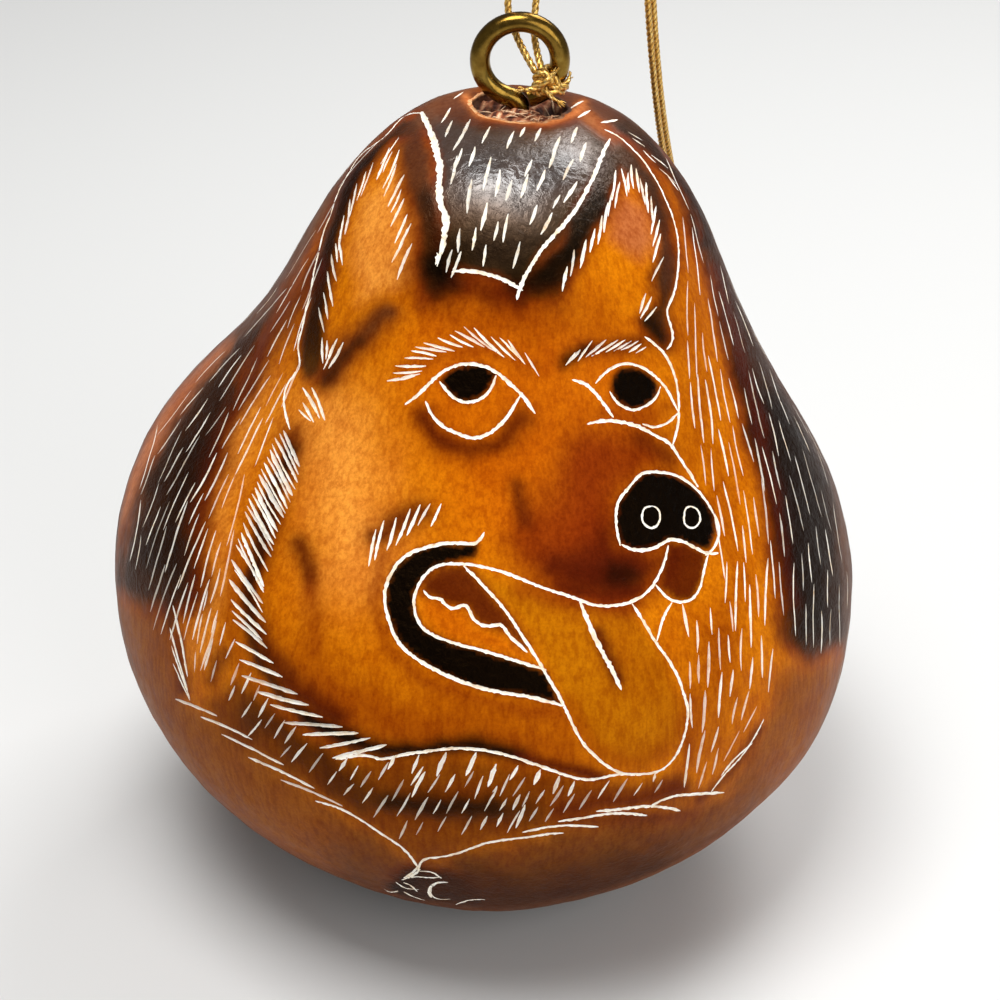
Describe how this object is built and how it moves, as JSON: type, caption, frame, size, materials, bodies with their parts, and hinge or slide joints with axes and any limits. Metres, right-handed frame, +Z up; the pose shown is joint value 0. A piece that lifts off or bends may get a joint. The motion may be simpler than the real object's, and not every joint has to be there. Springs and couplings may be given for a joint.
{
  "type": "carved gourd ornament",
  "caption": "Hollow pear-shaped dried gourd with a burnt and engraved dog's head, a brass screw eye, a knotted gold hanging cord and loose seeds inside.",
  "frame": {"origin": "centre of the gourd's footprint box, on the surface it stands on", "axes": "+Z up through the belly, the engraved front towards -Y, +X to the right of someone facing the front"},
  "size_m": [0.064, 0.0645, 0.0897],
  "materials": {
    "gourd_rind": "burnt, engraved and waxed",
    "stem_pith": "rough and fibrous",
    "brass_wire": "bright",
    "gold_cord": "metallic thread",
    "dried_seed": "matt"
  },
  "bodies": {
    "gourd": {"gourd_shell": "gourd_rind", "stem_plug": "stem_pith", "screw_eye": "brass_wire"},
    "cord": {"hanging_loop": "gold_cord", "cord_knot": "gold_cord"},
    "seeds": {"seed_01": "dried_seed", "seed_02": "dried_seed", "seed_03": "dried_seed", "seed_04": "dried_seed", "seed_05": "dried_seed", "seed_06": "dried_seed", "seed_07": "dried_seed", "seed_08": "dried_seed", "seed_09": "dried_seed", "seed_10": "dried_seed", "seed_11": "dried_seed", "seed_12": "dried_seed"}
  },
  "joints": [
    {"name": "knot_slides_round_ring", "type": "hinge", "parent": "gourd", "child": "cord", "pos_m": [0.00272, 0.001, 0.07365], "axis": [0, -1, 0], "range_deg": [0, 90]},
    {"name": "seeds_rattle", "type": "slide", "parent": "gourd", "child": "seeds", "axis": [0, 0, 1], "range_m": [0, 0.036]}
  ]
}
